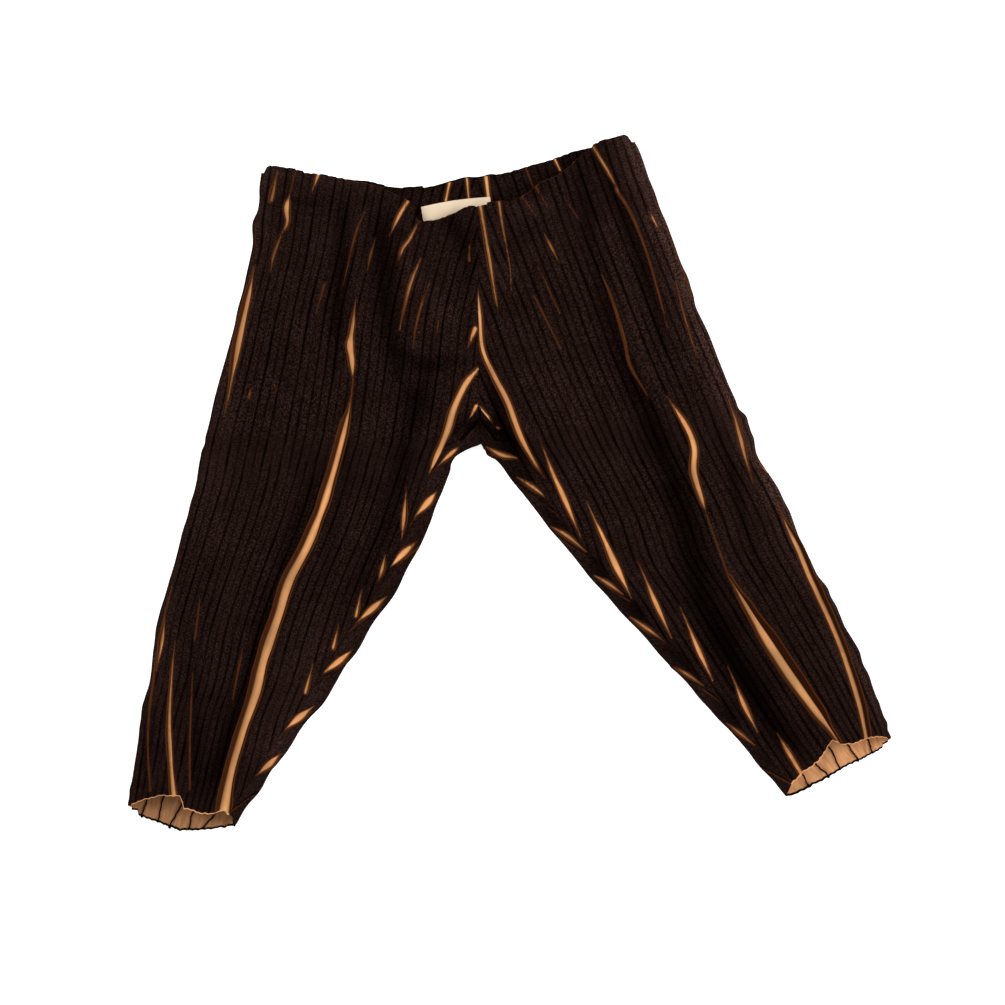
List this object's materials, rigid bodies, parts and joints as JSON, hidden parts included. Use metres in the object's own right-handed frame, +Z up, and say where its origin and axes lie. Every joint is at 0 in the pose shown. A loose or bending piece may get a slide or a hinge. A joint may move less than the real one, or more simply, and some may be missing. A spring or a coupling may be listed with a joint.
{
  "type": "capri pants laid flat",
  "caption": "Pull-on cropped trousers of narrow pleated two-tone cloth, laid flat and slightly full, with an elastic casing at the waist and raw hems.",
  "frame": {"origin": "middle of the garment's footprint, on the surface that it lies on", "axes": "+X across the garment towards the viewer's right, +Y from the hems to the waist, +Z up off the surface"},
  "size_m": [0.8022, 0.7254, 0.0289],
  "materials": {
    "pleated_cloth": "dark brown pleats over a tan ground, matt crinkled weave",
    "facing_cloth": "the same cloth turned in, matt",
    "label_cloth": "smooth cream woven tape, bare"
  },
  "bodies": {
    "root": {"front_panel_left": "pleated_cloth", "front_panel_right": "pleated_cloth", "back_panel_left": "pleated_cloth", "back_panel_right": "pleated_cloth", "waist_facing": "facing_cloth", "waist_label": "label_cloth"}
  },
  "joints": []
}
